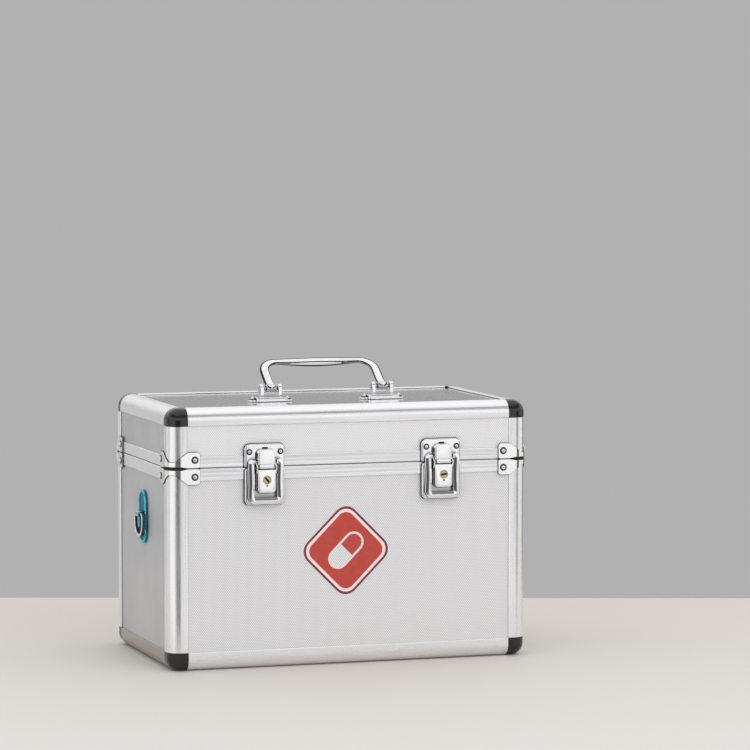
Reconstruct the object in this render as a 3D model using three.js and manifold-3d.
// Aluminium medication lock box: a hinged, latched, lockable case with a carrying handle.
// Millimetres, +Z up, -Y is the front with the latches. The origin is the middle of the base.
import * as THREE from 'three';
import { mergeVertices } from 'three/addons/utils/BufferGeometryUtils.js';
import { RoundedBoxGeometry } from 'three/addons/geometries/RoundedBoxGeometry.js';
import Module from 'manifold-3d';

const wasm = await Module();
wasm.setup();

// Driving dimensions of the case
const caseWidth = 360;
const caseDepth = 204;
const seamHeight = 193.4;
const lidRise = 56.6;
const seamGap = 1;
const fit = 0.3;
const overrun = 5;

// Edge extrusions and panels
const edgeRadius = 12;
const postLeg = 18.5;
const baseRailLeg = 17.8;
const topRailLeg = 16.6;
const skin = 1.2;
const panelThickness = 3;
const slotDepth = 10;
const panelChamfer = 3;
const keyHeight = 9;
const innerFlangeShort = 2;
const bandHeight = 11.6;
const lidBandHeight = 10.4;
const bandWeb = 4;
const postDrop = 0.5;
const capWall = 1;
const liningThickness = 2.5;
const bodyLiningDrop = 1;
const lidLiningDrop = 14;
const tongueInset = 3;
const tongueWidth = 1.6;
const tongueRise = 2.6;
const tongueClearance = 0.4;
const tongueBackStop = 20;

// Corner braces and rivets
const braceReach = 30;
const braceHeight = 14.7;
const braceNeck = 5.5;
const braceNeckHalf = 3;
const braceTaperEnd = 17.5;
const braceEndRadius = 3;
const plateThickness = 1;
const rivetRadius = 3.25;
const rivetRise = 1.6;
const braceRivetInset = 25;
const braceRivetHeight = 7.6;

// Latches
const latchSpacing = 177.4;
const latchShift = 1.9;
const trayWidth = 39.8;
const trayDrop = 36.2;
const trayRise = 9.1;
const trayFloor = 1.6;
const panFace = 3.3;
const panWall = 1;
const rimWidth = 6;
const trayFlange = 2.5;
const trayFoot = 0.8;
const rimRise = 8;
const rimWaist = 0.6;
const rimCorner = 4;
const rimMouth = 10.6;
const keeperRise = 21.9;
const keeperCorner = 5;
const keeperRivetSpacing = 30.6;
const keeperRivetRadius = 2.75;
const keeperRivetLift = 14.4;
const keeperSlotWidth = 6;
const keeperSlotHeight = 1.5;
const keeperSlotLift = 1.6;
const leverWidth = 17.4;
const leverDrop = 24.4;
const leverTopDrop = 2.1;
const leverCorner = 3.5;
const leverFace = 10.8;
const leverDepth = 7;
const leverWall = 1.4;
const leverEarRadius = 2.4;
const leverArmRadius = 1.8;
const leverEarWall = 1.3;
const leverPivotRise = 3.6;
const leverPivotOut = 3.9;
const tonguePinDrop = 0.2;
const tonguePinOut = 9;
const latchPinRadius = 1;
const latchBarrelRadius = 1.6;
const hookWidth = 16.9;
const hookLift = 2.2;
const hookRise = 17.1;
const hookCorner = 5.5;
const hookFace = 10.7;
const hookWall = 1.3;
const hookDepth = 6.6;
const plugRadius = 3.9;
const plugDrop = 9.8;
const plugProud = 0.4;
const plugCamLength = 6;
const plugCamWidth = 3;
const plugCamThickness = 1.2;
const keywayWidth = 1.2;
const keywayLength = 4.4;
const keywayDepth = 1.2;

// Rear hinge
const hingeEndGap = 10;
const knuckleCount = 11;
const knuckleRadius = 3;
const knuckleGap = 0.4;
const hingePinRadius = 1.2;
const leafHeight = 14;
const leafThickness = 1.2;
const leafRivetRadius = 2.4;
const leafRivetRise = 1;

// Handle and its brackets
const bracketSpacing = 114;
const handleForward = 23;
const bracketLength = 31.5;
const bracketDepth = 18;
const bracketHeight = 2.4;
const lugSpan = 45;
const lugDepth = 10;
const lugHeight = 2;
const earSpacing = 18.3;
const earThickness = 3.6;
const earWidth = 9;
const handlePivotRise = 12.2;
const handlePinRadius = 2;
const handlePinHead = 3;
const handlePinHeadRise = 1.2;
const eyeRadius = 4;
const eyeLength = 10;
const handleLegLength = 40.8;
const handleLean = 55;
const handleCorner = 15;
const legWidth = 8.2;
const barWidth = 6;
const strapThickness = 3;
const gripWidth = 12;
const gripThickness = 7;
const strapSquareShare = 0.7;

// Strap rings on the sides
const strapPlateHeight = 52;
const strapPlateWidth = 26;
const strapPlateDrop = 80.8;
const strapPlateBack = 5;
const strapPlateThickness = 1.5;
const strapRimWidth = 3;
const strapRimRise = 1;
const strapPivotRise = 28.4;
const strapSleeveLength = 12;
const strapSleeveWall = 1.2;
const ringWire = 1.8;
const ringHalfWidth = 14;
const ringDrop = 21;

// Lid stay, whose pivot on the lid and pin on the body are equally far from the hinge
const stayRadius = 75;
const stayPivotAngle = 8;
const stayPinAngle = 45;
const lidOpenAngle = 100;
const stayHalfWidth = 4.5;
const stayThickness = 2;
const stayPinRadius = 2;
const stayShoulder = 3.6;
const stayHead = 4;
const stayHeadThickness = 1.4;
const stayInset = 10.2;

// Facets
const arcSteps = 6;
const rodSides = 10;
const rivetSides = 8;

// Derived places
const caseHeight = seamHeight + lidRise;
const trayBottom = seamHeight - trayDrop;
const trayTop = seamHeight + trayRise;
const keeperTop = seamHeight + keeperRise;
const keeperRivetHeight = seamHeight + keeperRivetLift;
const leverBottom = seamHeight - leverDrop;
const leverTop = seamHeight - leverTopDrop;
const leverPivotHeight = seamHeight + leverPivotRise;
const tonguePinHeight = seamHeight - tonguePinDrop;
const hookBottom = seamHeight + hookLift;
const hookTop = seamHeight + hookRise;
const strapPlateBottom = seamHeight - strapPlateDrop;
const halfW = caseWidth / 2;
const halfD = caseDepth / 2;
const bodyTop = seamHeight - seamGap / 2;
const lidBottom = seamHeight + seamGap / 2;
const slotFar = skin + panelThickness + 2 * fit;
const coreFace = slotFar + skin;
const frontFace = -halfD;
const plateBack = fit;
const hingeY = halfD + fit + knuckleRadius;
const hingeZ = seamHeight;
const lidPanelTop = caseHeight - skin - fit;
const bracketBase = lidPanelTop + fit;
const hingeLength = caseWidth - 2 * (braceReach + hingeEndGap);
const plugHeight = leverTop - plugDrop;
const trayFace = panFace + 2 * fit;
const trayEarInner = leverWidth / 2 + leverEarWall + 2 * fit;
const strapPivotHeight = strapPlateBottom + strapPivotRise;
const handlePivotHeight = bracketBase + handlePivotRise;
const radians = THREE.MathUtils.degToRad;

// Materials
function material(color, roughness, metalness) {
  return new THREE.MeshStandardMaterial({ color, roughness, metalness });
}
const paint = {
  rail: material('#d6d7d8', 0.3, 0.9),
  frontPanel: material('#cfced2', 0.5, 0.4),
  sidePanel: material('#b9b9bb', 0.45, 0.4),
  cap: material('#151515', 0.2, 0),
  plate: material('#e2e2e2', 0.25, 0.95),
  chrome: material('#e8e8ea', 0.08, 1),
  satin: material('#f2f2f2', 0.35, 0.9),
  brass: material('#b98d3c', 0.3, 0.9),
  strap: material('#2a9fb8', 0.12, 0.9),
  steel: material('#b4b6b8', 0.3, 0.9),
  lining: material('#3a3c40', 0.9, 0),
};

// Solids from geometry
function solid(geometry) {
  const bare = geometry.clone();
  bare.deleteAttribute('normal');
  bare.deleteAttribute('uv');
  const merged = mergeVertices(bare, 1e-4);
  const triVerts = Uint32Array.from(merged.index.array);
  const vertProperties = Float32Array.from(merged.attributes.position.array);
  return new wasm.Manifold(new wasm.Mesh({ numProp: 3, vertProperties, triVerts }));
}

function geometryOf(manifold) {
  const mesh = manifold.getMesh();
  const geometry = new THREE.BufferGeometry();
  geometry.setAttribute('position', new THREE.BufferAttribute(Float32Array.from(mesh.vertProperties), 3));
  geometry.setIndex(new THREE.BufferAttribute(Uint32Array.from(mesh.triVerts), 1));
  geometry.computeVertexNormals();
  return geometry;
}

function join(...manifolds) {
  return manifolds.reduce((a, b) => a.add(b));
}

function box(x0, x1, y0, y1, z0, z1) {
  const geometry = new THREE.BoxGeometry(Math.abs(x1 - x0), Math.abs(y1 - y0), Math.abs(z1 - z0));
  geometry.translate((x0 + x1) / 2, (y0 + y1) / 2, (z0 + z1) / 2);
  return solid(geometry);
}

function extruded(points, depth, matrix) {
  const shape = new THREE.Shape(points.map(([a, b]) => new THREE.Vector2(a, b)));
  const geometry = new THREE.ExtrudeGeometry(shape, { depth, bevelEnabled: false, steps: 1 });
  geometry.applyMatrix4(matrix);
  return solid(geometry);
}

// Outlines of (y, z) points run along X, of (x, z) points along Y and of (x, y) points along Z
function prismX(points, x0, x1) {
  return extruded(points, x1 - x0, new THREE.Matrix4().set(0, 0, 1, x0, 1, 0, 0, 0, 0, 1, 0, 0, 0, 0, 0, 1));
}

function prismY(points, y0, y1) {
  return extruded(points, y1 - y0, new THREE.Matrix4().set(1, 0, 0, 0, 0, 0, -1, y1, 0, 1, 0, 0, 0, 0, 0, 1));
}

function prismZ(points, z0, z1) {
  return extruded(points, z1 - z0, new THREE.Matrix4().makeTranslation(0, 0, z0));
}

function arc(cx, cy, radius, from, to, steps = arcSteps) {
  return Array.from({ length: steps + 1 }, (_, i) => {
    const angle = radians(from + ((to - from) * i) / steps);
    return [cx + radius * Math.cos(angle), cy + radius * Math.sin(angle)];
  });
}

function circle(cx, cy, radius, steps = rodSides) {
  return arc(cx, cy, radius, 0, 360, steps).slice(0, steps);
}

function roundedRectangle(x0, x1, y0, y1, radius, steps = 4) {
  return [
    ...arc(x1 - radius, y0 + radius, radius, -90, 0, steps),
    ...arc(x1 - radius, y1 - radius, radius, 0, 90, steps),
    ...arc(x0 + radius, y1 - radius, radius, 90, 180, steps),
    ...arc(x0 + radius, y0 + radius, radius, 180, 270, steps),
  ];
}

// Outline with round ends about two centres
function stadium(p, q, radius, steps = 8) {
  const angle = THREE.MathUtils.radToDeg(Math.atan2(q[1] - p[1], q[0] - p[0]));
  return [
    ...arc(q[0], q[1], radius, angle - 90, angle + 90, steps),
    ...arc(p[0], p[1], radius, angle + 90, angle + 270, steps),
  ];
}

// Closed rings of equal length, skinned in order and capped by fans
function loft(rings, closed = false) {
  const sides = rings[0].length;
  const positions = rings.flat(2);
  const faces = [];
  const spans = closed ? rings.length : rings.length - 1;
  for (let i = 0; i < spans; i += 1) {
    const next = (i + 1) % rings.length;
    for (let j = 0; j < sides; j += 1) {
      const k = (j + 1) % sides;
      faces.push(i * sides + j, i * sides + k, next * sides + k);
      faces.push(i * sides + j, next * sides + k, next * sides + j);
    }
  }
  if (!closed) {
    const last = (rings.length - 1) * sides;
    for (let j = 1; j < sides - 1; j += 1) {
      faces.push(0, j + 1, j);
      faces.push(last, last + j, last + j + 1);
    }
  }
  const geometry = new THREE.BufferGeometry();
  geometry.setAttribute('position', new THREE.Float32BufferAttribute(positions, 3));
  geometry.setIndex(signedVolume(positions, faces) < 0 ? faces.reverse() : faces);
  return solid(geometry);
}

function signedVolume(positions, faces) {
  const point = (i) => new THREE.Vector3().fromArray(positions, i * 3);
  let sum = 0;
  for (let i = 0; i < faces.length; i += 3) {
    sum += point(faces[i]).dot(point(faces[i + 1]).cross(point(faces[i + 2])));
  }
  return sum;
}

// Copy mirrored by the three signs, with its faces still pointing out
function mirrored(geometry, sx, sy, sz) {
  const copy = geometry.clone();
  copy.scale(sx, sy, sz);
  if (sx * sy * sz < 0) {
    copy.setIndex(Array.from(copy.index.array).reverse());
  }
  copy.computeVertexNormals();
  return copy;
}

// Low dome for a rivet or pin head, pointing along a direction
function dome(center, direction, radius, rise, sides = rivetSides) {
  const shares = [[0, -0.5], [1, -0.5], [1, 0.25], [0.75, 0.8], [0, 1]];
  const profile = shares.map(([across, along]) => new THREE.Vector2(across * radius, along * rise));
  const geometry = new THREE.LatheGeometry(profile, sides);
  const up = new THREE.Vector3(0, 1, 0);
  geometry.applyQuaternion(new THREE.Quaternion().setFromUnitVectors(up, new THREE.Vector3(...direction)));
  geometry.translate(...center);
  return solid(geometry);
}

// Section of an edge extrusion, u and v measured inward from its two outer faces
function edgeSection(legU, legV) {
  const around = arc(edgeRadius, edgeRadius, edgeRadius, 270, 180);
  return [
    [legU, 0], ...around, [0, legV], [skin, legV], [skin, slotDepth], [slotFar, slotDepth],
    [slotFar, legV - innerFlangeShort], [coreFace, legV - innerFlangeShort], [coreFace, coreFace],
    [legU - innerFlangeShort, coreFace], [legU - innerFlangeShort, slotFar], [slotDepth, slotFar],
    [slotDepth, skin], [legU, skin],
  ];
}

// Section of a closure extrusion, v measured from the face that meets the other half
function closureSection(height) {
  return [[0, 0], [coreFace, 0], [coreFace, height], [slotFar, height], [slotFar, bandWeb],
    [skin, bandWeb], [skin, height], [0, height]];
}

// Four straight lengths of one section between the corners, joined by a flange that runs all round inside
function ring(section, zEdge, up, flangeFrom, flangeTo) {
  const place = (sign, half) => section.map(([u, v]) => [sign * (half - u), zEdge + up * v]);
  const x = halfW - postLeg - fit;
  const y = halfD - postLeg - fit;
  const heights = ordered(zEdge + up * flangeFrom, zEdge + up * flangeTo);
  const inside = box(-halfW + coreFace, halfW - coreFace, -halfD + coreFace, halfD - coreFace,
    -overrun, caseHeight + overrun);
  const flange = box(-halfW + slotFar, halfW - slotFar, -halfD + slotFar, halfD - slotFar, ...heights);
  return join(
    flange.subtract(inside),
    prismX(place(-1, halfD), -x, x),
    prismX(place(1, halfD), -x, x),
    prismY(place(-1, halfW), -y, y),
    prismY(place(1, halfW), -y, y),
  );
}

// Case corner at -X, -Y and height zEdge, rounded all round and drawn in by inset
function roundedCorner(inset, zEdge, up) {
  const size = 4 * postLeg;
  const geometry = new RoundedBoxGeometry(size, size, size, 4, edgeRadius - inset);
  geometry.translate(-halfW + inset + size / 2, -halfD + inset + size / 2, zEdge + up * (inset + size / 2));
  return solid(geometry);
}

function cornerBlock(reach, z0, z1) {
  return box(-halfW - overrun, -halfW + reach, -halfD - overrun, -halfD + reach, z0, z1);
}

// Plan outline of the case corner at -X, -Y, drawn in by inset
function cornerOutline(inset) {
  const reach = 2 * postLeg;
  return [
    ...arc(-halfW + edgeRadius, -halfD + edgeRadius, edgeRadius - inset, 180, 270),
    [-halfW + reach, -halfD + inset], [-halfW + reach, -halfD + reach], [-halfW + inset, -halfD + reach],
  ];
}

// The parts that the body and the lid have in common, each for a half with its edge at half.edge
function edgeFrame(half) {
  return ring(edgeSection(half.leg, half.leg), half.edge, half.up, keyHeight, half.leg - innerFlangeShort);
}

function ordered(a, b) {
  return a < b ? [a, b] : [b, a];
}

function cornerCap(half) {
  const heights = ordered(half.edge - half.up * overrun, half.edge + half.up * half.leg);
  return roundedCorner(0, half.edge, half.up).intersect(cornerBlock(postLeg, ...heights))
    .subtract(roundedCorner(capWall, half.edge, half.up));
}

function cornerPost(half) {
  const section = edgeSection(postLeg, postLeg).map(([u, v]) => [-halfW + u, -halfD + v]);
  const heights = ordered(half.edge + half.up * (half.leg + fit), half.mouth - half.up * postDrop);
  const band = ordered(half.mouth + half.up * overrun, half.mouth - half.up * (half.band + fit));
  return prismZ(section, ...heights).subtract(prismZ(cornerOutline(skin), ...band));
}

function closureFrame(half) {
  return ring(closureSection(half.band), half.mouth, -half.up, 0, half.band);
}

// Location tongue along the front and both sides, grown for its groove
function closureTongue(grow, z0, z1) {
  const inner = tongueInset - grow;
  const outer = tongueInset + tongueWidth + grow;
  const back = halfD - tongueBackStop + grow;
  return join(
    box(-halfW + postLeg + fit - grow, halfW - postLeg - fit + grow, -halfD + inner, -halfD + outer, z0, z1),
    box(-halfW + inner, -halfW + outer, -halfD + postLeg + fit - grow, back, z0, z1),
    box(halfW - outer, halfW - inner, -halfD + postLeg + fit - grow, back, z0, z1),
  );
}

// Wall panel with the two corners beside the caps cut off
function wallPanel(half, along, sign) {
  const end = (along === 'x' ? halfW : halfD) - slotDepth - fit;
  const face = (along === 'x' ? halfD : halfW) - skin - fit;
  const edge = half.edge + half.up * (slotDepth + fit);
  const mouth = half.mouth - half.up * (bandWeb + fit);
  const outline = [
    [-end + panelChamfer, edge], [end - panelChamfer, edge], [end, edge + half.up * panelChamfer],
    [end, mouth], [-end, mouth], [-end, edge + half.up * panelChamfer],
  ];
  const across = ordered(sign * face, sign * (face - panelThickness));
  return along === 'x' ? prismY(outline, ...across) : prismX(outline, ...across);
}

function flatPanel(half) {
  const x = halfW - slotDepth - fit;
  const y = halfD - slotDepth - fit;
  const near = half.edge + half.up * (skin + fit);
  const outline = [
    [-x + panelChamfer, -y], [x - panelChamfer, -y], [x, -y + panelChamfer], [x, y - panelChamfer],
    [x - panelChamfer, y], [-x + panelChamfer, y], [-x, y - panelChamfer], [-x, -y + panelChamfer],
  ];
  return prismZ(outline, ...ordered(near, near + half.up * panelThickness));
}

function liningShell(half) {
  const outer = coreFace + fit;
  const inner = outer + liningThickness;
  const rim = half.mouth - half.up * half.liningDrop;
  const shell = box(-halfW + outer, halfW - outer, -halfD + outer, halfD - outer,
    ...ordered(half.edge + half.up * outer, rim));
  return shell.subtract(box(-halfW + inner, halfW - inner, -halfD + inner, halfD - inner,
    ...ordered(half.edge + half.up * inner, rim + half.up * overrun)));
}

// Plate bent round a corner beside the seam, full height on both faces and narrow at the bend
function cornerBrace(half) {
  const near = fit;
  const far = fit + plateThickness;
  const bendSteps = 2 * Math.ceil(arcSteps / 2);
  const bendLength = (edgeRadius * Math.PI) / 4;
  const taper = braceTaperEnd - edgeRadius + bendLength - braceNeckHalf;
  const heightAt = (s) => {
    const share = THREE.MathUtils.clamp((s - braceNeckHalf) / taper, 0, 1);
    return braceNeck + (braceHeight - braceNeck) * share;
  };
  const cut = braceEndRadius * 0.3;
  const legStops = [braceReach, braceReach - cut, braceReach - braceEndRadius, braceTaperEnd];
  const endDrops = [braceEndRadius, cut, 0, 0];
  const leg = legStops.map((x, i) => ({
    at: (out) => [-halfW + x, -halfD - out], height: braceHeight - endDrops[i],
  }));
  const bend = arc(0, 0, 1, 270, 180, bendSteps).map(([cos, sin], i) => ({
    at: (out) => [-halfW, -halfD].map((face, k) => face + edgeRadius + [cos, sin][k] * (edgeRadius + out)),
    height: heightAt(Math.abs(bendLength - (i / bendSteps) * 2 * bendLength)),
  }));
  const otherLeg = [...leg].reverse().map(({ height }, i) => ({
    at: (out) => [-halfW - out, -halfD + legStops[legStops.length - 1 - i]], height,
  }));
  const rings = [...leg, ...bend, ...otherLeg].map(({ at, height }) => {
    const top = half.mouth - half.up * height;
    return [[...at(near), half.mouth], [...at(far), half.mouth], [...at(far), top], [...at(near), top]];
  });
  const z = half.mouth - half.up * braceRivetHeight;
  return join(
    loft(rings),
    dome([-halfW + braceRivetInset, -halfD - far, z], [0, -1, 0], rivetRadius, rivetRise),
    dome([-halfW - far, -halfD + braceRivetInset, z], [-1, 0, 0], rivetRadius, rivetRise),
  );
}

// Rear hinge: body leaf with every other knuckle and the pin, lid leaf with the knuckles between
function hingeLeaf(up, first) {
  const leafBack = halfD + fit;
  const heights = ordered(hingeZ + up * (knuckleRadius + 0.5 * leafThickness), hingeZ + up * leafHeight);
  const pitch = hingeLength / knuckleCount;
  const pieces = [box(-hingeLength / 2, hingeLength / 2, leafBack, leafBack + leafThickness, ...heights)];
  for (let i = first; i < knuckleCount; i += 2) {
    const x0 = -hingeLength / 2 + i * pitch + knuckleGap / 2;
    const x1 = x0 + pitch - knuckleGap;
    pieces.push(box(x0, x1, leafBack, leafBack + leafThickness, ...ordered(hingeZ, heights[up > 0 ? 1 : 0])));
    pieces.push(prismX(circle(hingeY, hingeZ, knuckleRadius), x0, x1));
    const rivetZ = hingeZ + up * (knuckleRadius + leafHeight) / 2;
    const rivet = [(x0 + x1) / 2, leafBack + leafThickness, rivetZ];
    pieces.push(dome(rivet, [0, 1, 0], leafRivetRadius, leafRivetRise));
  }
  return join(...pieces);
}

function hingeBodyLeaf() {
  const end = hingeLength / 2 - fit;
  return join(hingeLeaf(-1, 0), prismX(circle(hingeY, hingeZ, hingePinRadius, 8), -end, end));
}

function hingeLidLeaf() {
  const bore = prismX(circle(hingeY, hingeZ, hingePinRadius + fit, 8), -hingeLength, hingeLength);
  return hingeLeaf(1, 1).subtract(bore);
}

// Latch parts are built about x = 0, with y measured outward from the front face
const outward = (distance) => frontFace - distance;

// Tube of one section swept along stations that hold a place and a sideways direction
function sweptRim() {
  const side = trayWidth / 2 - trayFlange - rimWidth / 2;
  const low = trayBottom + trayFoot + rimWidth / 2;
  const curl = side - rimMouth;
  const shoulder = trayTop - rimWidth / 2 - curl;
  const waistHeight = (low + shoulder) / 2;
  const right = [
    ...arc(side - rimCorner, low + rimCorner, rimCorner, 270, 360, 4),
    [side - rimWaist, waistHeight],
    ...arc(rimMouth, shoulder, curl, 0, 90, 4),
  ];
  const path = [...right.map(([x, z]) => [-x, z]).reverse(), ...right];
  const half = rimWidth / 2;
  const foot = panFace + fit;
  const crownShares = [[-1, 0.6], [-0.8, 0.85], [-0.3, 1], [0.4, 1], [0.85, 0.8], [1, 0.5]];
  const crown = crownShares.map(([across, out]) => [across * half, out * rimRise]);
  const section = [[-half, foot], ...crown, [half, foot]];
  return loft(path.map((point, i) => {
    const before = path[Math.max(i - 1, 0)];
    const after = path[Math.min(i + 1, path.length - 1)];
    const along = new THREE.Vector2(after[0] - before[0], after[1] - before[1]).normalize();
    return section.map(([a, b]) => [point[0] + along.y * a, outward(b), point[1] - along.x * a]);
  }));
}

// Pressed pan, hollow behind its raised face, with a well sunk to a floor
function pressedPan(outlineAt, wellAt, face, floor) {
  const raised = prismY(outlineAt(0), outward(face), outward(plateBack));
  const pocket = prismY(outlineAt(panWall), outward(face - panWall), frontFace + overrun)
    .subtract(prismY(wellAt(panWall), outward(face + overrun), frontFace + 2 * overrun));
  const well = prismY(wellAt(0), outward(face + overrun), outward(plateBack + floor));
  return raised.subtract(pocket).subtract(well);
}

function latchTray() {
  const half = trayWidth / 2 - fit;
  const reach = trayWidth / 2 - trayFlange - rimWidth;
  const wellBottom = trayBottom + trayFoot + rimWidth;
  const outlineAt = (inset) => roundedRectangle(-half + inset, half - inset, trayBottom + fit + inset,
    bodyTop - inset, rimCorner - inset, 3);
  const wellAt = (wider) => roundedRectangle(-reach - wider, reach + wider, wellBottom - wider,
    bodyTop + overrun, 2 * panWall, 2);
  const pan = pressedPan(outlineAt, wellAt, trayFace, trayFloor);
  const ear = (sign) => {
    const [x0, x1] = ordered(sign * trayEarInner, sign * (trayEarInner + leverEarWall));
    const pivot = [outward(leverPivotOut), leverPivotHeight];
    const back = outward(plateBack + plateThickness + fit);
    const low = bodyTop - leverEarRadius * 2;
    return join(
      prismX(circle(...pivot, leverEarRadius - fit), x0, x1),
      box(x0, x1, pivot[0] - leverEarRadius + fit, back, low, leverPivotHeight),
      box(x0, x1, back, outward(plateBack), low, bodyTop),
      prismX(circle(...pivot, latchPinRadius, 8), ...ordered(x0, sign * (leverWidth / 2 + fit / 2))),
    );
  };
  return join(pan, sweptRim(), ear(-1), ear(1));
}

function keeperPlate() {
  const outlineAt = (inset) => {
    const half = trayWidth / 2 - inset;
    const r = keeperCorner - inset;
    const low = lidBottom + inset;
    const bend = keeperTop - keeperCorner;
    const shoulders = [...arc(half - r, bend, r, 0, 90, 4), ...arc(-half + r, bend, r, 90, 180, 4)];
    return [[-half, low], [half, low], ...shoulders];
  };
  const wellTop = leverPivotHeight + leverEarRadius + 2 * fit;
  const wellAt = (wider) => {
    const reach = trayEarInner + leverEarWall + fit + wider;
    return roundedRectangle(-reach, reach, lidBottom - overrun, wellTop + wider, panWall, 2);
  };
  const slotZ = hookTop + keeperSlotLift;
  const slot = box(-keeperSlotWidth / 2, keeperSlotWidth / 2, frontFace - overrun, frontFace,
    slotZ - keeperSlotHeight / 2, slotZ + keeperSlotHeight / 2);
  const rivets = [-1, 1].map((sign) => {
    const center = [(sign * keeperRivetSpacing) / 2, outward(panFace), keeperRivetHeight];
    return dome(center, [0, -1, 0], keeperRivetRadius, rivetRise);
  });
  return join(pressedPan(outlineAt, wellAt, panFace, plateThickness).subtract(slot), ...rivets);
}

// Pressed cover open at the back, with its outline rounded at one end
function pressedCover(halfWidth, z0, z1, corner, face, depth, wall, roundTop) {
  const outlineAt = (inset) => {
    const x = halfWidth - inset;
    const r = corner - inset;
    const [lo, hi] = [z0 + inset, z1 - inset];
    return roundTop
      ? [[-x, lo], [x, lo], ...arc(x - r, hi - r, r, 0, 90, 4), ...arc(-x + r, hi - r, r, 90, 180, 4)]
      : [[x, hi], [-x, hi], ...arc(-x + r, lo + r, r, 180, 270, 4), ...arc(x - r, lo + r, r, 270, 360, 4)];
  };
  const cover = prismY(outlineAt(0), outward(face), outward(face - depth));
  return cover.subtract(prismY(outlineAt(wall), outward(face - wall), outward(face - depth - overrun)));
}

function latchLever() {
  const half = leverWidth / 2;
  const shell = [leverBottom, leverTop, leverCorner, leverFace, leverDepth, leverWall];
  const cover = pressedCover(half, ...shell, false);
  const plugBore = circle(0, plugHeight, plugRadius + fit / 2, 16);
  const plugHole = prismY(plugBore, outward(leverFace + overrun), frontFace);
  const pivot = [outward(leverPivotOut), leverPivotHeight];
  const pinSeat = [outward(tonguePinOut), tonguePinHeight];
  const ear = (sign) => {
    const [x0, x1] = ordered(sign * half, sign * (half + leverEarWall));
    const low = [outward(leverFace - leverDepth / 2), leverTop - leverEarRadius];
    const outlines = [circle(...pivot, leverEarRadius), stadium(pivot, pinSeat, leverArmRadius, 6),
      stadium(pinSeat, low, leverArmRadius, 6)];
    const arm = outlines.map((outline) => prismX(outline, x0, x1));
    const footEnds = ordered(sign * (half - leverWall), sign * (half + leverEarWall));
    const foot = prismX(circle(...low, leverArmRadius), ...footEnds);
    const bore = prismX(circle(...pivot, latchPinRadius + fit, 10), x0 - overrun, x1 + overrun);
    return join(...arm, foot).subtract(bore);
  };
  const pinEnd = half + leverEarWall / 2;
  const pin = prismX(circle(...pinSeat, latchPinRadius, 8), -pinEnd, pinEnd);
  return join(cover.subtract(plugHole), ear(-1), ear(1), pin);
}

function latchTongue() {
  const half = hookWidth / 2;
  const cover = pressedCover(half, hookBottom, hookTop, hookCorner, hookFace, hookDepth, hookWall, true);
  const pinSeat = [outward(tonguePinOut), tonguePinHeight];
  const barrelHalf = half - hookWall;
  const barrel = prismX(circle(...pinSeat, latchBarrelRadius), -barrelHalf, barrelHalf);
  const neck = box(-barrelHalf, barrelHalf, outward(hookFace - hookWall / 4), outward(tonguePinOut),
    tonguePinHeight + latchBarrelRadius / 2, hookBottom + hookWall / 2);
  const bore = prismX(circle(...pinSeat, latchPinRadius + fit, 10), -half - overrun, half + overrun);
  return join(cover, barrel, neck).subtract(bore);
}

function lockPlug() {
  const front = outward(leverFace + plugProud);
  const back = outward(leverFace - leverDepth + plugCamThickness + fit);
  const barrel = prismY(circle(0, plugHeight, plugRadius, 16), front, back);
  const camBack = back + plugCamThickness;
  const camEnd = [0, plugHeight - plugCamLength + plugCamWidth / 2];
  const camOutline = stadium([0, plugHeight], camEnd, plugCamWidth / 2);
  const cam = prismY(camOutline, back - plugCamThickness / 2, camBack);
  const keyway = box(-keywayWidth / 2, keywayWidth / 2, front - overrun, front + keywayDepth,
    plugHeight - keywayLength / 2, plugHeight + keywayLength / 2);
  return join(barrel, cam).subtract(keyway);
}

// Handle bracket about x = 0, with two ears that carry the handle's pin
function handleBracket() {
  const top = bracketBase + bracketHeight;
  const pivot = handlePivotHeight;
  const y0 = -handleForward;
  const plate = prismZ(roundedRectangle(-bracketLength / 2, bracketLength / 2, y0 - bracketDepth / 2,
    y0 + bracketDepth / 2, lugHeight, 2), bracketBase, top);
  const lugReach = (lugSpan - lugDepth) / 2;
  const lugOutline = stadium([-lugReach, y0], [lugReach, y0], lugDepth / 2, 6);
  const lugs = prismZ(lugOutline, bracketBase, bracketBase + lugHeight);
  const earOutline = [[y0 + earWidth / 2, top - lugHeight], ...arc(y0, pivot, earWidth / 2, 0, 180, 8),
    [y0 - earWidth / 2, top - lugHeight]];
  const ears = [-1, 1].map((sign) => {
    const x = (sign * earSpacing) / 2;
    const outer = x + (sign * earThickness) / 2;
    return join(
      prismX(earOutline, x - earThickness / 2, x + earThickness / 2),
      dome([outer, y0, pivot], [sign, 0, 0], handlePinHead, handlePinHeadRise),
      dome([sign * lugReach, y0, bracketBase + lugHeight], [0, 0, 1], rivetRadius, rivetRise),
    );
  });
  const pin = prismX(circle(y0, pivot, handlePinRadius), -earSpacing / 2, earSpacing / 2);
  return join(plate, lugs, ...ears, pin);
}

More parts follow.
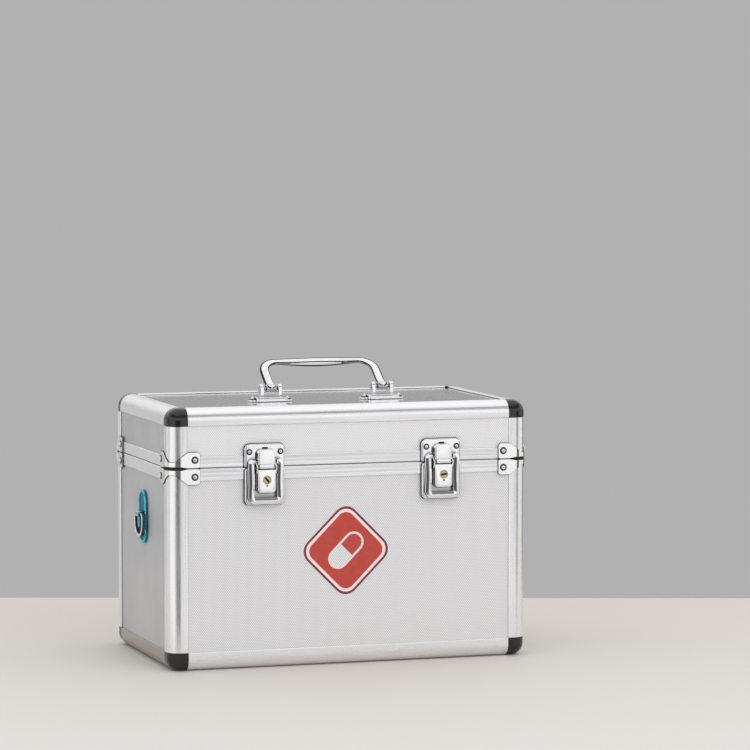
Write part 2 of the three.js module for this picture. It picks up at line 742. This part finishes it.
// Carrying handle, a strap swept from eye to eye, leaning back on its stops and swelling inward at the grip
function carryHandle() {
  const half = bracketSpacing / 2;
  const cornerX = half - handleCorner;
  const cornerQ = handleLegLength - handleCorner;
  const barShares = [0.8, 0.6, 0.4, 0.2];
  const rightHalf = [
    [half, eyeRadius * 0.8], [half, cornerQ / 2],
    ...arc(cornerX, cornerQ, handleCorner, 0, 90, 6),
    ...barShares.map((share) => [cornerX * share, handleLegLength]),
  ];
  const path = [...rightHalf, [0, handleLegLength], ...[...rightHalf].reverse().map(([p, q]) => [-p, q])];
  const lean = radians(handleLean);
  const place = (p, q, n) => [p, -handleForward + q * Math.sin(lean) - n * Math.cos(lean),
    handlePivotHeight + q * Math.cos(lean) + n * Math.sin(lean)];
  const squared = (a) => Math.sign(a) * Math.abs(a) ** strapSquareShare;
  const section = circle(0, 0, 1, 12).map((point) => point.map(squared));
  const rings = path.map(([p, q], i) => {
    const before = path[Math.max(i - 1, 0)];
    const after = path[Math.min(i + 1, path.length - 1)];
    const along = new THREE.Vector2(after[0] - before[0], after[1] - before[1]).normalize();
    const gripShare = Math.abs(p) < cornerX ? Math.cos((p / cornerX) * (Math.PI / 2)) : 0;
    const legShare = Math.max(Math.abs(p) - cornerX, 0) / handleCorner;
    const outer = (barWidth + (legWidth - barWidth) * legShare) / 2;
    const inward = (gripWidth - barWidth) * gripShare;
    const thick = (strapThickness + (gripThickness - strapThickness) * gripShare) / 2;
    return section.map(([a, b]) => {
      const side = a * (outer + inward / 2) - inward / 2;
      return place(p + along.y * side, q - along.x * side, b * thick);
    });
  });
  const pivot = [-handleForward, handlePivotHeight];
  const reach = eyeLength / 2;
  const eyes = [-half, half].map((x) => prismX(circle(...pivot, eyeRadius), x - reach, x + reach));
  const bore = prismX(circle(...pivot, handlePinRadius + fit), -halfW, halfW);
  return join(loft(rings), ...eyes).subtract(bore);
}

// Strap plate on the left side, with a sleeve that the ring's straight bar turns in
const strapFace = -halfW + skin;
const strapBar = strapFace - fit - strapPlateThickness - strapRimRise - fit - ringWire;

function strapPlate() {
  const r = strapPlateWidth / 2;
  const low = [-strapPlateBack, strapPlateBottom + r];
  const high = [-strapPlateBack, strapPlateBottom + strapPlateHeight - r];
  const x1 = strapFace - fit;
  const x0 = x1 - strapPlateThickness;
  const rim = prismX(stadium(low, high, r), x0 - strapRimRise, x0)
    .subtract(prismX(stadium(low, high, r - strapRimWidth), x0 - overrun, x0 + overrun));
  const y0 = -strapPlateBack - strapSleeveLength / 2;
  const y1 = -strapPlateBack + strapSleeveLength / 2;
  const outer = ringWire + fit + strapSleeveWall;
  const sleeve = prismY(circle(strapBar, strapPivotHeight, outer, 16), y0, y1);
  const web = box(strapBar, x1 - strapPlateThickness / 2, y0, y1, strapPivotHeight, strapPivotHeight + outer);
  const bore = prismY(circle(strapBar, strapPivotHeight, ringWire + fit), y0 - overrun, y1 + overrun);
  return join(prismX(stadium(low, high, r), x0, x1), rim, sleeve, web).subtract(bore);
}

// D-shaped ring hanging from its straight bar
function strapRing() {
  const bend = ringWire * 2;
  const bowZ = strapPivotHeight - ringDrop + ringHalfWidth;
  const path = [
    [-ringHalfWidth + bend, strapPivotHeight], [ringHalfWidth - bend, strapPivotHeight],
    ...arc(ringHalfWidth - bend, strapPivotHeight - bend, bend, 90, 0, 3).slice(1),
    ...arc(0, bowZ, ringHalfWidth, 0, -180, 10),
    ...arc(-ringHalfWidth + bend, strapPivotHeight - bend, bend, 180, 90, 3).slice(0, 3),
  ];
  const count = path.length;
  const rings = path.map(([y, z], i) => {
    const before = path[(i + count - 1) % count];
    const after = path[(i + 1) % count];
    const along = new THREE.Vector2(after[0] - before[0], after[1] - before[1]).normalize();
    const wire = circle(0, 0, ringWire, 8);
    return wire.map(([a, b]) => [strapBar + b, y - strapPlateBack + along.y * a, z - along.x * a]);
  });
  return loft(rings, true);
}

// Lid stay: the slotted arm turns at half the lid's rate, because both pivots are equally far from the hinge
const stayLidPivot = [hingeY - stayRadius * Math.cos(radians(stayPivotAngle)),
  hingeZ + stayRadius * Math.sin(radians(stayPivotAngle))];
const stayBodyPin = [hingeY - stayRadius * Math.cos(radians(stayPinAngle)),
  hingeZ - stayRadius * Math.sin(radians(stayPinAngle))];
const stayClosed = 2 * stayRadius * Math.sin(radians((stayPivotAngle + stayPinAngle) / 2));
const stayOpen = 2 * stayRadius * Math.sin(radians((stayPivotAngle + stayPinAngle + lidOpenAngle) / 2));
const stayX = halfW - stayInset;

function stayArm() {
  const direction = [0, 1].map((i) => (stayBodyPin[i] - stayLidPivot[i]) / stayClosed);
  const along = (distance) => [0, 1].map((i) => stayLidPivot[i] + direction[i] * distance);
  const outline = stadium(along(0), along(stayOpen + fit), stayHalfWidth);
  const slot = stadium(along(stayClosed - fit), along(stayOpen + fit), stayPinRadius + fit);
  const arm = prismX(outline, stayX - stayThickness, stayX);
  return arm
    .subtract(prismX(slot, stayX - overrun, stayX + overrun))
    .subtract(prismX(circle(...stayLidPivot, stayPinRadius + fit), stayX - overrun, stayX + overrun));
}

// Shouldered stud with a head, standing in from the wall at x = root
function stayStud([y, z], root) {
  const neck = stayX + fit;
  const cheek = stayX - stayThickness - fit;
  return join(
    prismX(circle(y, z, stayShoulder), neck, root),
    prismX(circle(y, z, stayPinRadius), cheek - stayHeadThickness / 2, neck + fit),
    prismX(circle(y, z, stayHead), cheek - stayHeadThickness, cheek),
  );
}

// Assembly
const lockBox = new THREE.Group();
const bodyHalf = {
  edge: 0, up: 1, mouth: bodyTop, leg: baseRailLeg, band: bandHeight, liningDrop: bodyLiningDrop,
};
const lidHalf = {
  edge: caseHeight, up: -1, mouth: lidBottom, leg: topRailLeg, band: lidBandHeight, liningDrop: lidLiningDrop,
};
const corners = { front_left: [1, 1], front_right: [-1, 1], rear_left: [1, -1], rear_right: [-1, -1] };

function add(name, geometry, finish, x = 0) {
  const mesh = new THREE.Mesh(geometry, finish);
  mesh.name = name;
  mesh.position.x = x;
  lockBox.add(mesh);
}

function addCorners(name, manifold, finish) {
  const geometry = geometryOf(manifold);
  for (const [place, [sx, sy]] of Object.entries(corners)) {
    add(`${name}_${place}`, mirrored(geometry, sx, sy, 1), finish);
  }
}

function addHalf(name, half, flatName) {
  add(`${name}_front_panel`, geometryOf(wallPanel(half, 'x', -1)), paint.frontPanel);
  add(`${name}_rear_panel`, geometryOf(wallPanel(half, 'x', 1)), paint.frontPanel);
  add(`${name}_left_panel`, geometryOf(wallPanel(half, 'y', -1)), paint.sidePanel);
  add(flatName, geometryOf(flatPanel(half)), paint.sidePanel);
  add(`${name}_edge_frame`, geometryOf(edgeFrame(half)), paint.rail);
  addCorners(`${name}_post`, cornerPost(half), paint.rail);
  addCorners(`${name}_cap`, cornerCap(half), paint.cap);
  addCorners(`${name}_brace`, cornerBrace(half), paint.plate);
}

addHalf('body', bodyHalf, 'body_bottom_panel');
addHalf('lid', lidHalf, 'lid_top_panel');

const panelInner = halfW - skin - fit - panelThickness;
const stayPanelStud = stayStud(stayBodyPin, panelInner + panelThickness / 2);
add('body_right_panel', geometryOf(join(wallPanel(bodyHalf, 'y', 1), stayPanelStud)), paint.sidePanel);
add('lid_right_panel', geometryOf(wallPanel(lidHalf, 'y', 1)), paint.sidePanel);

const liningHole = prismX(circle(...stayBodyPin, stayShoulder + fit), halfW - postLeg, halfW);
add('body_lining', geometryOf(liningShell(bodyHalf).subtract(liningHole)), paint.lining);
add('lid_lining', geometryOf(liningShell(lidHalf)), paint.lining);

const tongueTop = bodyTop + tongueRise;
const bodyClosure = join(closureFrame(bodyHalf), closureTongue(0, bodyTop - bandWeb / 2, tongueTop));
const lidGroove = closureTongue(tongueClearance, lidBottom - overrun, tongueTop + tongueClearance);
const lidClosure = closureFrame(lidHalf).subtract(lidGroove);
const stayFrameStud = stayStud(stayLidPivot, halfW - coreFace + skin / 2);
add('body_closure_frame', geometryOf(bodyClosure), paint.rail);
add('lid_closure_frame', geometryOf(join(lidClosure, stayFrameStud)), paint.rail);

for (const [side, sign] of [['left', -1], ['right', 1]]) {
  const x = latchShift + (sign * latchSpacing) / 2;
  add(`${side}_latch_tray`, geometryOf(latchTray()), paint.chrome, x);
  add(`${side}_latch_keeper`, geometryOf(keeperPlate()), paint.chrome, x);
  add(`${side}_latch_lever`, geometryOf(latchLever()), paint.satin, x);
  add(`${side}_latch_tongue`, geometryOf(latchTongue()), paint.satin, x);
  add(`${side}_lock_plug`, geometryOf(lockPlug()), paint.brass, x);
  add(`${side}_handle_bracket`, geometryOf(handleBracket()), paint.chrome, (sign * bracketSpacing) / 2);
  add(`${side}_strap_plate`, mirrored(geometryOf(strapPlate()), -sign, 1, 1), paint.strap);
  add(`${side}_strap_ring`, mirrored(geometryOf(strapRing()), -sign, 1, 1), paint.chrome);
}

add('carry_handle', geometryOf(carryHandle()), paint.chrome);
add('rear_hinge_body_leaf', geometryOf(hingeBodyLeaf()), paint.steel);
add('rear_hinge_lid_leaf', geometryOf(hingeLidLeaf()), paint.steel);
add('lid_stay', geometryOf(stayArm()), paint.steel);

export default lockBox;
